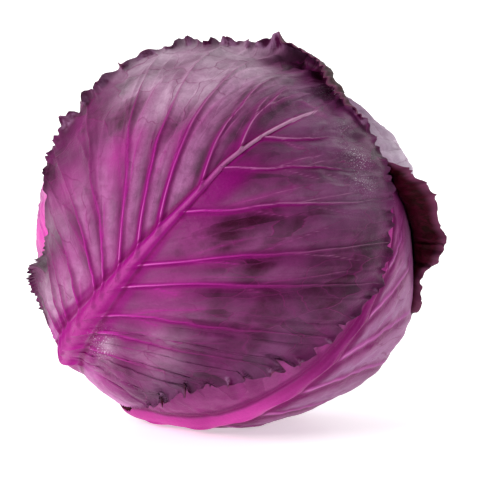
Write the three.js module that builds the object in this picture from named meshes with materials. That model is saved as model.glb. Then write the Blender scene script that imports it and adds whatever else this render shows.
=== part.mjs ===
// A red cabbage head, lying on its side: a dense head of inner leaves, its cut stalk and four wrapper leaves.
import * as THREE from 'three';

// Driving dimensions, in millimetres.
const equatorRadius = 86.3; // of the outermost leaf, halfway from stem to crown
const stemReach = 87.5; // of the same surface towards the stem
const crownReach = 78; // and towards the crown
const bladeThickness = 0.8;
const pitch = 1.7; // from the outside of one leaf to the outside of the next
const gap = 0.4; // left between pieces that touch
const headGap = 1.1; // under the innermost wrapper leaf
const cutHeight = 84.5; // of the knife cut through stem and leaf stalks, from the head's middle
const stalkRadius = 14; // at the cut
const stalkLength = 3; // of its straight end, before it widens
const bossRadius = 36; // where the widened stem meets the head
const bossHeight = 72; // of that place, from the head's middle
const restHeight = 82.5; // of the head's middle over the flat spot
const veinHalfWidth = 1.3;
const veinHeight = 1.1;
const rowSpacing = 11; // of the mesh rows along an open leaf's margin

// How the head lies, in degrees.
const stemBearing = 163.8; // of the stem end, counted from +X
const stemDip = 46.2; // of the stem end below level
const frontTurn = 10.4; // of the front leaf's midrib about the stem, from level

// Where the leaves' middles lie, and where their shells part near the stem, in degrees from the stem end.
const leafMiddle = 88;
const neckStart = 14;
const neckEnd = 26;
const layersJoin = 18;
const layersApart = 34;
const veinDeparture = 38; // of a side vein from the midrib
const veinStep = 1.1; // of the mesh rows on both sides of a vein, along the midrib

const millimetresPerDegree = (equatorRadius * Math.PI) / 180;

// Each leaf is laid out flat, in degrees round its middle: angle 0 points to the crown, +90 to the leaf's right
// as it is seen with the crown up. An outline row is angle and reach. A vein row is the place on the midrib where
// it leaves and the angle where it meets the margin. A margin row is angle, width of the rolled strip in
// millimetres, its outward turn, then the height of its ruffles and the depth of its teeth in millimetres.
const leafFront = {
  name: 'leaf_front',
  turn: 0,
  layer: 1,
  columns: [0.13, 0.26, 0.39, 0.52, 0.65, 0.76, 0.86, 0.94, 1],
  color: 0x7a2c62,
  bow: [0, 0, 0],
  outline: [
    [-172, 82], [-164, 76], [-152, 64], [-144, 50], [-133, 44], [-121, 47], [-111, 58], [-99, 66], [-82, 62],
    [-75, 66], [-66, 79], [-57, 87], [-43, 93], [-30, 99], [-19, 103], [-7, 102], [13, 95.5], [25, 90], [40, 86],
    [50, 81.5], [57, 78], [69, 69], [81, 63.5], [92, 58.5], [107, 51.5], [123, 50], [141, 56], [152, 65],
    [164, 76], [172, 82],
  ],
  rightVeins: [[-64, 148], [-52, 118], [-41, 94], [-31, 77], [-17, 58], [-8, 46], [13, 34], [30, 25], [46, 13]],
  leftVeins: [
    [-58, -150], [-46, -134], [-26, -104], [-21.5, -84], [-13, -62], [-4, -46], [5, -31], [22, -18], [38, -10],
  ],
  tip: [66, -4],
  margin: [
    [-172, 3, 0, 0, 0], [-160, 5, 20, 0.6, 0.5], [-150, 9, 60, 1.6, 1], [-140, 6, 30, 1, 1],
    [-125, 6, 25, 1, 1.2], [-110, 10, 45, 1.6, 1.5], [-95, 11, 65, 2, 1.5], [-82, 9, 85, 2, 1.5],
    [-70, 8, 110, 1.8, 1.2], [-50, 8, 120, 1.6, 1.2], [-30, 8, 120, 1.6, 1.2], [-15, 7, 90, 1.4, 1.2],
    [0, 5, 30, 1, 1], [20, 4, 8, 0.7, 0.9], [45, 4, 5, 0.6, 1.2], [75, 4, 6, 0.6, 1.5],
    [100, 5, 12, 0.7, 1.5], [140, 5, 10, 0.6, 1.2], [160, 3, 0, 0.2, 0.3], [172, 3, 0, 0, 0],
  ],
};

const leafBack = {
  name: 'leaf_back',
  turn: 180,
  layer: 1,
  columns: [0.14, 0.28, 0.42, 0.56, 0.7, 0.82, 0.92, 1],
  color: 0xa87fa8,
  bow: [0, 0, 0],
  outline: [
    [-172, 82], [-164, 74], [-152, 64], [-135, 62], [-120, 68], [-105, 80], [-90, 88], [-78, 80], [-65, 70],
    [-51, 73], [-42, 74], [-33, 84], [-23, 89], [0, 91], [30, 86], [60, 78], [90, 72], [120, 66], [140, 61],
    [154, 64], [164, 72], [172, 82],
  ],
  rightVeins: [[-60, 146], [-46, 124], [-32, 102], [-18, 82], [-4, 64], [10, 48], [26, 33], [42, 18]],
  leftVeins: [[-60, -146], [-46, -124], [-32, -102], [-18, -82], [-4, -64], [10, -48], [26, -33], [42, -18]],
  tip: [60, 0],
  margin: [
    [-172, 3, 0, 0, 0], [-150, 4, 8, 0.4, 1], [-110, 4, 10, 0.5, 1], [-90, 5, 15, 0.6, 1],
    [-76, 10, 45, 1.6, 1.2], [-65, 15, 75, 2.4, 1.5], [-50, 17, 85, 2.8, 1.5], [-38, 15, 80, 2.4, 1.5],
    [-29, 8, 30, 1, 1], [-20, 3, 0, 0, 0.3], [0, 3, 0, 0, 0], [35, 3, 0, 0, 0.3], [60, 6, 30, 1.2, 1],
    [90, 8, 50, 1.6, 1.2], [120, 7, 40, 1.4, 1.2], [150, 4, 10, 0.5, 0.8], [172, 3, 0, 0, 0],
  ],
};

// The two leaves under them, of which only a strip is seen.
const coveredLeaf = {
  columns: [0.14, 0.28, 0.42, 0.56, 0.7, 0.85, 1],
  rowSpacing: 15,
  rightVeins: [[-58, 152], [-42, 128], [-27, 104], [-12, 82], [3, 62], [18, 44], [34, 28]],
  leftVeins: [[-58, -152], [-42, -128], [-27, -104], [-12, -82], [3, -62], [18, -44], [34, -28]],
  tip: [56, 0],
  margin: [[-180, 4, 0, 0, 0], [180, 4, 0, 0, 0]],
};

const leafRight = {
  ...coveredLeaf,
  name: 'leaf_right',
  turn: -72,
  layer: 2,
  color: 0xa0458c,
  bow: [-1.5, 0.12, 0.0016],
  outline: [
    [-177.9, 78.5], [-174.8, 66], [-166, 62], [-150, 60], [-120, 62], [-90, 64], [-60, 68], [-30, 76],
    [0, 84], [30, 76], [60, 68], [90, 65], [120, 64], [140, 64], [156, 68], [166, 75], [172.6, 81.5],
  ],
};

const leafLeft = {
  ...coveredLeaf,
  name: 'leaf_left',
  turn: 88,
  layer: 3,
  color: 0xa0458c,
  bow: [0, 0, 0],
  outline: [
    [-175, 79.6], [-169, 68], [-160, 64], [-145, 62], [-120, 62], [-90, 64], [-60, 68], [-30, 76],
    [0, 84], [30, 76], [60, 68], [90, 64], [120, 62], [145, 62], [160, 64], [169, 68], [175, 79.6],
  ],
};

const radians = THREE.MathUtils.degToRad;
const degrees = THREE.MathUtils.radToDeg;
const smooth = THREE.MathUtils.smoothstep;
const mix = THREE.MathUtils.lerp;
const clamp = THREE.MathUtils.clamp;

// The head's own axes: towards the stem, towards the front leaf's midrib, and a quarter turn on from it.
const stemAxis = new THREE.Vector3(
  Math.cos(radians(stemDip)) * Math.cos(radians(stemBearing)),
  Math.cos(radians(stemDip)) * Math.sin(radians(stemBearing)),
  -Math.sin(radians(stemDip)),
);
const level = new THREE.Vector3(0, 0, 1).cross(stemAxis).normalize();
const frontAxis = level.clone().applyAxisAngle(stemAxis, radians(frontTurn));
const sideAxis = stemAxis.clone().cross(frontAxis);

// Where the midribs start, at the stalk, in degrees from a leaf's middle.
const stalkStation = degrees(Math.atan((stalkRadius + gap) / cutHeight)) - leafMiddle;

// Smooth curve through rows [x, y], with no overshoot between them.
function curveThrough(rows) {
  const slopes = rows.slice(1).map((row, i) => (row[1] - rows[i][1]) / (row[0] - rows[i][0]));
  const tangents = rows.map((row, i) => {
    const before = slopes[Math.max(i - 1, 0)];
    const after = slopes[Math.min(i, slopes.length - 1)];
    return before * after <= 0 ? 0 : (2 * before * after) / (before + after);
  });
  return (x) => {
    const last = rows.length - 2;
    const found = rows.findIndex((row) => row[0] > x) - 1;
    const i = found < 0 ? (x < rows[0][0] ? 0 : last) : found;
    const span = rows[i + 1][0] - rows[i][0];
    const t = clamp((x - rows[i][0]) / span, 0, 1);
    const rise = rows[i + 1][1] - rows[i][1];
    const a = tangents[i] * span;
    const b = tangents[i + 1] * span;
    return rows[i][1] + t * a + t * t * (3 * rise - 2 * a - b) + t * t * t * (a + b - 2 * rise);
  };
}

// From the head's middle to the outside of the outermost layer.
function shellRadius(direction) {
  const along = direction.dot(stemAxis);
  const reach = along > 0 ? stemReach : crownReach;
  return 1 / Math.sqrt((1 - along * along) / equatorRadius ** 2 + (along / reach) ** 2);
}

function degreesFromStem(direction) {
  return degrees(Math.acos(clamp(direction.dot(stemAxis), -1, 1)));
}

// The flat layout of a leaf, wrapped round the head.
class LeafLayout {
  constructor(leaf) {
    this.leaf = leaf;
    const out = frontAxis.clone().applyAxisAngle(stemAxis, radians(leaf.turn));
    const middle = radians(leafMiddle);
    this.middle = stemAxis.clone().multiplyScalar(Math.cos(middle)).addScaledVector(out, Math.sin(middle));
    this.toCrown = stemAxis.clone().multiplyScalar(-Math.sin(middle)).addScaledVector(out, Math.cos(middle));
    this.toRight = this.toCrown.clone().cross(this.middle);
    this.reach = curveThrough(leaf.outline);
    this.stripWidth = curveThrough(leaf.margin.map((row) => [row[0], row[1]]));
    this.stripTurn = curveThrough(leaf.margin.map((row) => [row[0], row[2]]));
    this.ruffleHeight = curveThrough(leaf.margin.map((row) => [row[0], row[3]]));
    this.toothDepth = curveThrough(leaf.margin.map((row) => [row[0], row[4]]));
    this.base = stalkStation;
    const [leftCorner] = leaf.outline[0];
    const [rightCorner] = leaf.outline[leaf.outline.length - 1];
    this.sides = [
      { sign: 1, veins: leaf.rightVeins, angle: this.marginAngles(leaf.rightVeins, rightCorner) },
      { sign: -1, veins: leaf.leftVeins, angle: this.marginAngles(leaf.leftVeins, leftCorner) },
    ];
  }

  marginAngles(veins, corner) {
    return curveThrough([[this.base, corner], ...veins, this.leaf.tip]);
  }

  direction(reach, angle) {
    const a = radians(angle);
    const r = radians(reach);
    return this.middle.clone().multiplyScalar(Math.cos(r))
      .addScaledVector(this.toCrown, Math.sin(r) * Math.cos(a))
      .addScaledVector(this.toRight, Math.sin(r) * Math.sin(a));
  }

  // How far inside this leaf's margin a direction lies, in degrees.
  inside(direction) {
    const reach = degrees(Math.acos(clamp(direction.dot(this.middle), -1, 1)));
    const angle = degrees(Math.atan2(direction.dot(this.toRight), direction.dot(this.toCrown)));
    return this.reach(angle) - reach;
  }

  // A row runs from the midrib at a station to the margin, as a side vein does. t goes from 0 to 1 along it.
  rowPoint(side, station, t) {
    const [c0, c1, c2] = this.leaf.bow;
    const startX = station;
    const startY = c0 + c1 * station + c2 * station * station;
    const angle = side.angle(station);
    const reach = this.reach(angle);
    const endX = reach * Math.cos(radians(angle));
    const endY = reach * Math.sin(radians(angle));
    const chord = Math.atan2(endY - startY, endX - startX);
    const freed = smooth(station, this.base, this.base + 24);
    const leave = mix(chord, side.sign * radians(veinDeparture), freed);
    const length = 0.45 * Math.hypot(endX - startX, endY - startY);
    const middleX = startX + length * Math.cos(leave);
    const middleY = startY + length * Math.sin(leave);
    const x = (1 - t) ** 2 * startX + 2 * t * (1 - t) * middleX + t * t * endX;
    const y = (1 - t) ** 2 * startY + 2 * t * (1 - t) * middleY + t * t * endY;
    return new THREE.Vector2(x, y);
  }

  // Millimetres between rows one station apart, at t.
  spread(side, station, t) {
    const step = 0.25;
    const here = this.rowPoint(side, station, t);
    const next = this.rowPoint(side, station, Math.min(t + 0.02, 1));
    const from = this.rowPoint(side, station, Math.max(t - 0.02, 0));
    const along = next.sub(from).normalize();
    const across = this.rowPoint(side, station + step, t).sub(here);
    return (Math.abs(across.cross(along)) / step) * millimetresPerDegree;
  }

  veinHalfStep(side, station, t) {
    const width = veinHalfWidth * (1 - 0.5 * t);
    return Math.min(veinStep, width / Math.max(this.spread(side, station, t), 0.2));
  }

  // The midrib: half its width in degrees, and its height.
  ribHalfWidth(station) {
    return mix(5.2, 0.8, smooth(station, this.base, 20));
  }

  ribHeight(station) {
    const swell = smooth(station, this.base, -60);
    return mix(1.2, 2.4, swell) * (1 - smooth(station, -60, this.leaf.tip[0])) + 0.3;
  }

  // Height of midrib and side veins over the blade.
  relief(side, station, t, x, y) {
    const [c0, c1, c2] = this.leaf.bow;
    const off = Math.abs(y - (c0 + c1 * x + c2 * x * x)) / this.ribHalfWidth(x);
    const rib = off < 1 && x < this.leaf.tip[0] ? this.ribHeight(x) * (1 - off * off) ** 2 : 0;
    let vein = 0;
    for (const [start] of side.veins) {
      const away = Math.abs(station - start) / this.veinHalfStep(side, start, t);
      if (away < 1) {
        vein = Math.max(vein, veinHeight * (1 - away) * (1 - t) ** 0.6);
      }
    }
    return Math.max(rib, vein);
  }

  // Rows for the mesh: each vein with a row on both sides of it, and more where the margin needs them.
  stations() {
    const veins = this.sides.flatMap((side) => side.veins.map((vein) => vein[0]));
    const marks = [...new Set(veins)].sort((a, b) => a - b);
    const rows = [{ at: this.base, vein: this.base, offset: 0 }];
    for (const mark of marks) {
      rows.push({ at: mark - veinStep, vein: mark, offset: -1 });
      rows.push({ at: mark, vein: mark, offset: 0 });
      rows.push({ at: mark + veinStep, vein: mark, offset: 1 });
    }
    rows.push({ at: this.leaf.tip[0], vein: this.leaf.tip[0], offset: 0 });
    const filled = [rows[0]];
    for (let i = 1; i < rows.length; i += 1) {
      const from = rows[i - 1].at;
      const to = rows[i].at;
      const wide = Math.max(...this.sides.map((side) => {
        const a = this.rowPoint(side, from, 1);
        return a.distanceTo(this.rowPoint(side, to, 1)) * millimetresPerDegree;
      }));
      const parts = Math.max(1, Math.round(wide / (this.leaf.rowSpacing ?? rowSpacing)));
      for (let k = 1; k < parts; k += 1) {
        const at = mix(from, to, k / parts);
        filled.push({ at, vein: at, offset: 0 });
      }
      filled.push(rows[i]);
    }
    return filled;
  }
}

const backLayout = new LeafLayout(leafBack);

// How far a leaf's outside lies under the outermost layer.
function layerDepth(layout, direction) {
  const apart = smooth(degreesFromStem(direction), layersJoin, layersApart);
  let layer = layout.leaf.layer;
  if (layout.leaf === leafFront) {
    layer -= smooth(backLayout.inside(direction), -12, -3);
  }
  return pitch * layer * apart;
}

// Long, uneven ripples round the margin.
function ripple(reach, angle) {
  const along = reach * radians(angle) * millimetresPerDegree;
  const slow = Math.sin((2 * Math.PI * along) / 41);
  return 0.6 * Math.sin((2 * Math.PI * along) / 17 + 1.6 * slow) + 0.4 * Math.sin((2 * Math.PI * along) / 27 + 1);
}

function teeth(reach, angle) {
  const along = reach * radians(angle) * millimetresPerDegree;
  return Math.sin((2 * Math.PI * along) / 13 + 2 * Math.sin((2 * Math.PI * along) / 53));
}

// A point of a leaf: its place in the flat layout and its height over the leaf's outside.
function leafPoint(layout, x, y, lift) {
  const reach = Math.hypot(x, y);
  const angle = degrees(Math.atan2(y, x));
  const edge = layout.reach(angle);
  const width = layout.stripWidth(angle);
  const into = Math.max(0, width - (edge - reach) * millimetresPerDegree);
  const share = into / width;
  const turn = radians(layout.stripTurn(angle));
  const bend = turn * share;
  const rolled = turn > 0.01;
  const tooth = layout.toothDepth(angle) * teeth(edge, angle) * share;
  const flat = rolled ? (width * Math.sin(bend)) / turn + tooth * Math.cos(bend) : into + tooth;
  const raised = rolled ? (width * (1 - Math.cos(bend))) / turn + tooth * Math.sin(bend) : 0;
  const wave = layout.ruffleHeight(angle) * share * share * (0.5 + 0.5 * ripple(edge, angle));
  const over = wave + lift;
  const inner = into > 0 ? edge - width / millimetresPerDegree : reach;
  const place = inner + (into > 0 ? flat - over * Math.sin(bend) : 0) / millimetresPerDegree;
  const direction = layout.direction(place, angle);
  const radius = shellRadius(direction) - layerDepth(layout, direction) + raised + over * Math.cos(bend);
  return direction.multiplyScalar(radius);
}

// Keeps a point off the floor, off the stalk and behind the knife cut.
function settle(point, floorLevel) {
  const height = Math.min(point.dot(stemAxis), cutHeight);
  const off = point.clone().addScaledVector(stemAxis, -point.dot(stemAxis));
  if (height > bossHeight && off.length() < stalkRadius + gap) {
    off.setLength(stalkRadius + gap);
  }
  const placed = off.addScaledVector(stemAxis, height);
  placed.z = Math.max(placed.z, floorLevel - restHeight);
  return placed;
}

// The underside of a leaf: a thin blade that thickens into the leaf stalk, which lies on the widened stem.
function undersidePoint(layout, x, y) {
  const point = leafPoint(layout, x, y, -bladeThickness);
  const fromStem = degreesFromStem(point.clone().normalize());
  const height = point.dot(stemAxis);
  const off = point.clone().addScaledVector(stemAxis, -height);
  const slope = (cutHeight - stalkLength - bossHeight) / (bossRadius - stalkRadius);
  const bed = cutHeight - stalkLength + gap - (Math.max(off.length(), stalkRadius) - stalkRadius) * slope;
  const thin = smooth(fromStem, neckStart, neckEnd);
  return point.addScaledVector(stemAxis, mix(Math.min(bed - height, 0), 0, thin));
}

function leafGeometry(layout) {
  const positions = [];
  const index = [];
  const columns = layout.leaf.columns;
  const stations = layout.stations();
  const floorLevel = pitch * Math.max(layout.leaf.layer - leafRight.layer, 0);
  const addPair = (side, station, t) => {
    const flat = layout.rowPoint(side, station, t);
    const relief = layout.relief(side, station, t, flat.x, flat.y) * exposure(layout, flat);
    const top = settle(leafPoint(layout, flat.x, flat.y, relief), floorLevel);
    const under = settle(undersidePoint(layout, flat.x, flat.y), floorLevel + bladeThickness);
    positions.push(top.x, top.y, top.z, under.x, under.y, under.z);
    return positions.length / 3 - 2;
  };
  const rows = stations.map((row) => {
    const shared = addPair(layout.sides[0], row.at, 0);
    const last = row === stations[stations.length - 1];
    return layout.sides.map((side, s) => {
      if (last && s === 1) {
        return null;
      }
      const hasVein = side.veins.some((vein) => vein[0] === row.vein);
      const stationAt = (t) => {
        const step = hasVein ? layout.veinHalfStep(side, row.vein, t) : veinStep;
        return row.vein + row.offset * step;
      };
      const length = layout.rowPoint(side, row.at, 1).distanceTo(layout.rowPoint(side, row.at, 0));
      const foot = layout.ribHalfWidth(row.at) / Math.sin(radians(veinDeparture)) / length;
      const ribSteps = [0.5, 1].map((share) => Math.min(share * foot, share * 0.16));
      return [shared, ...[...ribSteps, ...columns].map((t) => addPair(side, stationAt(t), t))];
    });
  });
  rows[rows.length - 1][1] = rows[rows.length - 1][0];
  const quad = (a, b, c, d, flip) => {
    if (flip) {
      index.push(a, c, b, a, d, c);
    } else {
      index.push(a, b, c, a, c, d);
    }
  };
  layout.sides.forEach((side, s) => {
    const flip = side.sign < 0;
    for (let i = 0; i + 1 < rows.length; i += 1) {
      const near = rows[i][s];
      const far = rows[i + 1][s];
      for (let j = 0; j + 1 < near.length; j += 1) {
        quad(near[j], near[j + 1], far[j + 1], far[j], flip);
        quad(near[j] + 1, near[j + 1] + 1, far[j + 1] + 1, far[j] + 1, !flip);
      }
      const rim = near.length - 1;
      quad(near[rim], near[rim] + 1, far[rim] + 1, far[rim], flip);
    }
    const baseRow = rows[0][s];
    for (let j = 0; j + 1 < baseRow.length; j += 1) {
      quad(baseRow[j], baseRow[j] + 1, baseRow[j + 1] + 1, baseRow[j + 1], flip);
    }
  });
  const geometry = new THREE.BufferGeometry();
  geometry.setAttribute('position', new THREE.Float32BufferAttribute(positions, 3));
  geometry.setIndex(index);
  geometry.computeVertexNormals();
  return geometry;
}

// Ribs and veins are pressed flat where another leaf covers them.
function exposure(layout, flat) {
  const direction = layout.direction(flat.length(), degrees(Math.atan2(flat.y, flat.x)));
  let open = 1;
  for (const cover of coversOf(layout)) {
    open *= 1 - smooth(cover.inside(direction), -5, -1);
  }
  return open;
}

const frontLayout = new LeafLayout(leafFront);
const rightLayout = new LeafLayout(leafRight);
const leftLayout = new LeafLayout(leafLeft);
const layouts = [frontLayout, backLayout, rightLayout, leftLayout];

function coversOf(layout) {
  return layouts.slice(0, layouts.indexOf(layout));
}

// The head: a ball under all the wrapper leaves, flat where the stem grows out of it and where it lies.
function headGeometry() {
  const rings = 20;
  const around = 36;
  const depth = pitch * leafLeft.layer + bladeThickness + headGap;
  const floorLevel = pitch * leafLeft.layer;
  const positions = [];
  const index = [];
  const place = (fromStem, turn) => {
    const direction = stemAxis.clone().multiplyScalar(Math.cos(fromStem))
      .addScaledVector(frontAxis, Math.sin(fromStem) * Math.cos(turn))
      .addScaledVector(sideAxis, Math.sin(fromStem) * Math.sin(turn));
    const point = direction.clone().multiplyScalar(shellRadius(direction) - depth);
    const over = Math.max(point.dot(stemAxis) - (bossHeight - gap), 0);
    point.addScaledVector(stemAxis, -over);
    point.z = Math.max(point.z, floorLevel - restHeight);
    positions.push(point.x, point.y, point.z);
    return positions.length / 3 - 1;
  };
  const stem = place(0, 0);
  const grid = [];
  for (let i = 1; i < rings; i += 1) {
    grid.push(Array.from({ length: around }, (unused, j) => place((Math.PI * i) / rings, (2 * Math.PI * j) / around)));
  }
  const crown = place(Math.PI, 0);
  for (let j = 0; j < around; j += 1) {
    const k = (j + 1) % around;
    index.push(stem, grid[0][j], grid[0][k]);
    index.push(crown, grid[rings - 2][k], grid[rings - 2][j]);
    for (let i = 0; i + 1 < grid.length; i += 1) {
      index.push(grid[i][j], grid[i + 1][j], grid[i + 1][k], grid[i][j], grid[i + 1][k], grid[i][k]);
    }
  }
  const geometry = new THREE.BufferGeometry();
  geometry.setAttribute('position', new THREE.Float32BufferAttribute(positions, 3));
  geometry.setIndex(index);
  geometry.computeVertexNormals();
  return geometry;
}

// The stalk: a short straight stump on a boss that widens to the head.
function stalkGeometry() {
  const profile = [
    new THREE.Vector2(0, bossHeight),
    new THREE.Vector2(bossRadius, bossHeight),
    new THREE.Vector2(stalkRadius, cutHeight - stalkLength),
    new THREE.Vector2(stalkRadius, cutHeight),
    new THREE.Vector2(0, cutHeight),
  ];
  return new THREE.LatheGeometry(profile, 48);
}

function finish(color, roughness) {
  return new THREE.MeshStandardMaterial({ color, roughness, metalness: 0 });
}

const cabbage = new THREE.Group();

const stalk = new THREE.Mesh(stalkGeometry(), finish(0xd9b8c4, 0.6));
stalk.name = 'stalk';
stalk.quaternion.setFromUnitVectors(new THREE.Vector3(0, 1, 0), stemAxis);
cabbage.add(stalk);

const head = new THREE.Mesh(headGeometry(), finish(0x8f4a86, 0.45));
head.name = 'head';
cabbage.add(head);

for (const layout of layouts) {
  const leaf = new THREE.Mesh(leafGeometry(layout), finish(layout.leaf.color, 0.42));
  leaf.name = layout.leaf.name;
  cabbage.add(leaf);
}

cabbage.position.z = restHeight;

export default cabbage;
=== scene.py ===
import math
import bpy
import numpy as np
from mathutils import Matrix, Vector


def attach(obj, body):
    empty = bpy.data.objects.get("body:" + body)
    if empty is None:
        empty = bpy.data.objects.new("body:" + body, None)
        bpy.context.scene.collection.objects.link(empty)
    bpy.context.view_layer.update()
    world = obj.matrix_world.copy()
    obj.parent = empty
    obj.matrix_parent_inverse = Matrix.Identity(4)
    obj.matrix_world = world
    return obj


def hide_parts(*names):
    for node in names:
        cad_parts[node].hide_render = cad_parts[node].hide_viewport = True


# A whole red cabbage lying on its side: a tight head, its cut stalk and four wrapper leaves.
# Shapes are worked out in millimetres and degrees round the head's middle, then set down in metres.

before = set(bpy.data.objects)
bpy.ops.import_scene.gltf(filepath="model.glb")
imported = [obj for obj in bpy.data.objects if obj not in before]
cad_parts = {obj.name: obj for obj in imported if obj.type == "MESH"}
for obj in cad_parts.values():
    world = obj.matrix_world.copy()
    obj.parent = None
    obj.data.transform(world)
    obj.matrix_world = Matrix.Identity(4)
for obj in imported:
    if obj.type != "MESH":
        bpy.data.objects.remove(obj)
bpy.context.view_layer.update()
print("frame loaded")

mm = 0.001

headShape = {
    "equatorRadius": 86.3,  # of the outermost leaf, halfway from stem to crown
    "stemReach": 87.5,  # of the same surface towards the stem
    "crownReach": 78.0,  # and towards the crown
    "pitch": 1.7,  # from the outside of one leaf to the outside of the next
    "bladeThickness": 0.8,
    "gap": 0.4,
    "headGap": 1.1,
    "restHeight": 82.5,  # of the head's middle over the flat spot
    "stemBearing": 163.8,  # degrees from +X
    "stemDip": 46.2,  # degrees below level
    "frontTurn": 10.4,  # of the front leaf's midrib about the stem
    "leafMiddle": 88.0,  # of every leaf, in degrees from the stem end
    "joinAt": 18.0,  # the layers part between these two, in degrees from the stem end
    "partAt": 34.0,
    "veinAngle": 38.0,  # at which a side vein leaves the midrib
}

stalkShape = {
    "radius": 14.0,
    "cutHeight": 84.5,  # of the knife cut, from the head's middle
    "length": 3.0,
    "bossRadius": 36.0,
    "bossHeight": 72.0,
    "neckStart": 14.0,  # the leaf stalks thicken between these two, in degrees from the stem end
    "neckEnd": 26.0,
}

mmPerDegree = math.radians(headShape["equatorRadius"])


def smooth(x, start, end):
    t = np.clip((x - start) / (end - start), 0, 1)
    return t * t * (3 - 2 * t)


def mix(a, b, t):
    return a + (b - a) * t


def curveThrough(rows):
    # smooth curve through [x, y] rows, with no overshoot between them
    x = np.array([row[0] for row in rows], float)
    y = np.array([row[1] for row in rows], float)
    slopes = np.diff(y) / np.diff(x)
    before = np.concatenate([slopes[:1], slopes])
    after = np.concatenate([slopes, slopes[-1:]])
    total = np.where(before + after == 0, 1, before + after)
    tangents = np.where(before * after <= 0, 0, 2 * before * after / total)

    def curve(at):
        at = np.asarray(at, float)
        i = np.clip(np.searchsorted(x, at, side="right") - 1, 0, len(x) - 2)
        span = x[i + 1] - x[i]
        t = np.clip((at - x[i]) / span, 0, 1)
        rise = y[i + 1] - y[i]
        a = tangents[i] * span
        b = tangents[i + 1] * span
        return y[i] + t * a + t * t * (3 * rise - 2 * a - b) + t ** 3 * (a + b - 2 * rise)

    return curve


def lumps(x, y, cell, seed):
    # soft random bumps between -1 and 1, one to a cell
    table = np.random.default_rng(seed).uniform(-1, 1, (128, 128))
    gx, gy = np.asarray(x) / cell, np.asarray(y) / cell
    ix, iy = np.floor(gx).astype(int), np.floor(gy).astype(int)
    fx, fy = gx - ix, gy - iy
    fx, fy = fx * fx * (3 - 2 * fx), fy * fy * (3 - 2 * fy)
    a, b = table[ix % 128, iy % 128], table[(ix + 1) % 128, iy % 128]
    c, d = table[ix % 128, (iy + 1) % 128], table[(ix + 1) % 128, (iy + 1) % 128]
    return mix(mix(a, b, fx), mix(c, d, fx), fy)


def ridge(off, width):
    return np.exp(-(off / width) ** 2)


def bell(x, y, patch):
    # a soft hump: where it is, its size along and across, and its height
    px, py, rx, ry, amount = patch
    return amount * np.exp(-((x - px) / rx) ** 2 - ((y - py) / ry) ** 2)


def highestOf(x, y, patches):
    field = np.zeros_like(x)
    for patch in patches:
        field = np.maximum(field, bell(x, y, patch))
    return field


def unit(v):
    return v / np.linalg.norm(v)


def turned(v, axis, degrees):
    a = math.radians(degrees)
    return v * math.cos(a) + np.cross(axis, v) * math.sin(a) + axis * np.dot(axis, v) * (1 - math.cos(a))


dip, bearing = math.radians(headShape["stemDip"]), math.radians(headShape["stemBearing"])
stemAxis = np.array([math.cos(dip) * math.cos(bearing), math.cos(dip) * math.sin(bearing), -math.sin(dip)])
levelAxis = unit(np.cross([0, 0, 1], stemAxis))
frontAxis = turned(levelAxis, stemAxis, headShape["frontTurn"])
sideAxis = np.cross(stemAxis, frontAxis)
ribAngle = math.atan((stalkShape["radius"] + headShape["gap"]) / stalkShape["cutHeight"])
ribStart = math.degrees(ribAngle) - headShape["leafMiddle"]
veinAngle = math.radians(headShape["veinAngle"])


def shellRadius(direction):
    along = direction @ stemAxis
    reach = np.where(along > 0, headShape["stemReach"], headShape["crownReach"])
    return 1 / np.sqrt((1 - along ** 2) / headShape["equatorRadius"] ** 2 + (along / reach) ** 2)


def degreesFromStem(direction):
    return np.degrees(np.arccos(np.clip(direction @ stemAxis, -1, 1)))


def toWorld(points):
    return (points + np.array([0, 0, headShape["restHeight"]])) * mm


def addObject(name, data):
    made = bpy.data.objects.new(name, data)
    bpy.context.scene.collection.objects.link(made)
    return made


def makePiece(name, points, faces, materials, faceMaterial=None, values=None, maps=None):
    mesh = bpy.data.meshes.new(name)
    mesh.from_pydata(toWorld(points).tolist(), [], [tuple(int(i) for i in face) for face in faces])
    for material in materials:
        mesh.materials.append(material)
    if faceMaterial is not None:
        mesh.polygons.foreach_set("material_index", np.asarray(faceMaterial, np.int32))
    mesh.polygons.foreach_set("use_smooth", np.ones(len(mesh.polygons), bool))
    for key, value in (values or {}).items():
        attribute = mesh.attributes.new(key, "FLOAT", "POINT")
        attribute.data.foreach_set("value", np.asarray(value, np.float32))
    corners = np.empty(len(mesh.loops), np.int32)
    mesh.loops.foreach_get("vertex_index", corners)
    for key, flat in (maps or {}).items():
        layer = mesh.uv_layers.new(name=key)
        layer.data.foreach_set("uv", np.asarray(flat, np.float32)[corners].ravel())
    mesh.update()
    return addObject(name, mesh)


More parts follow.
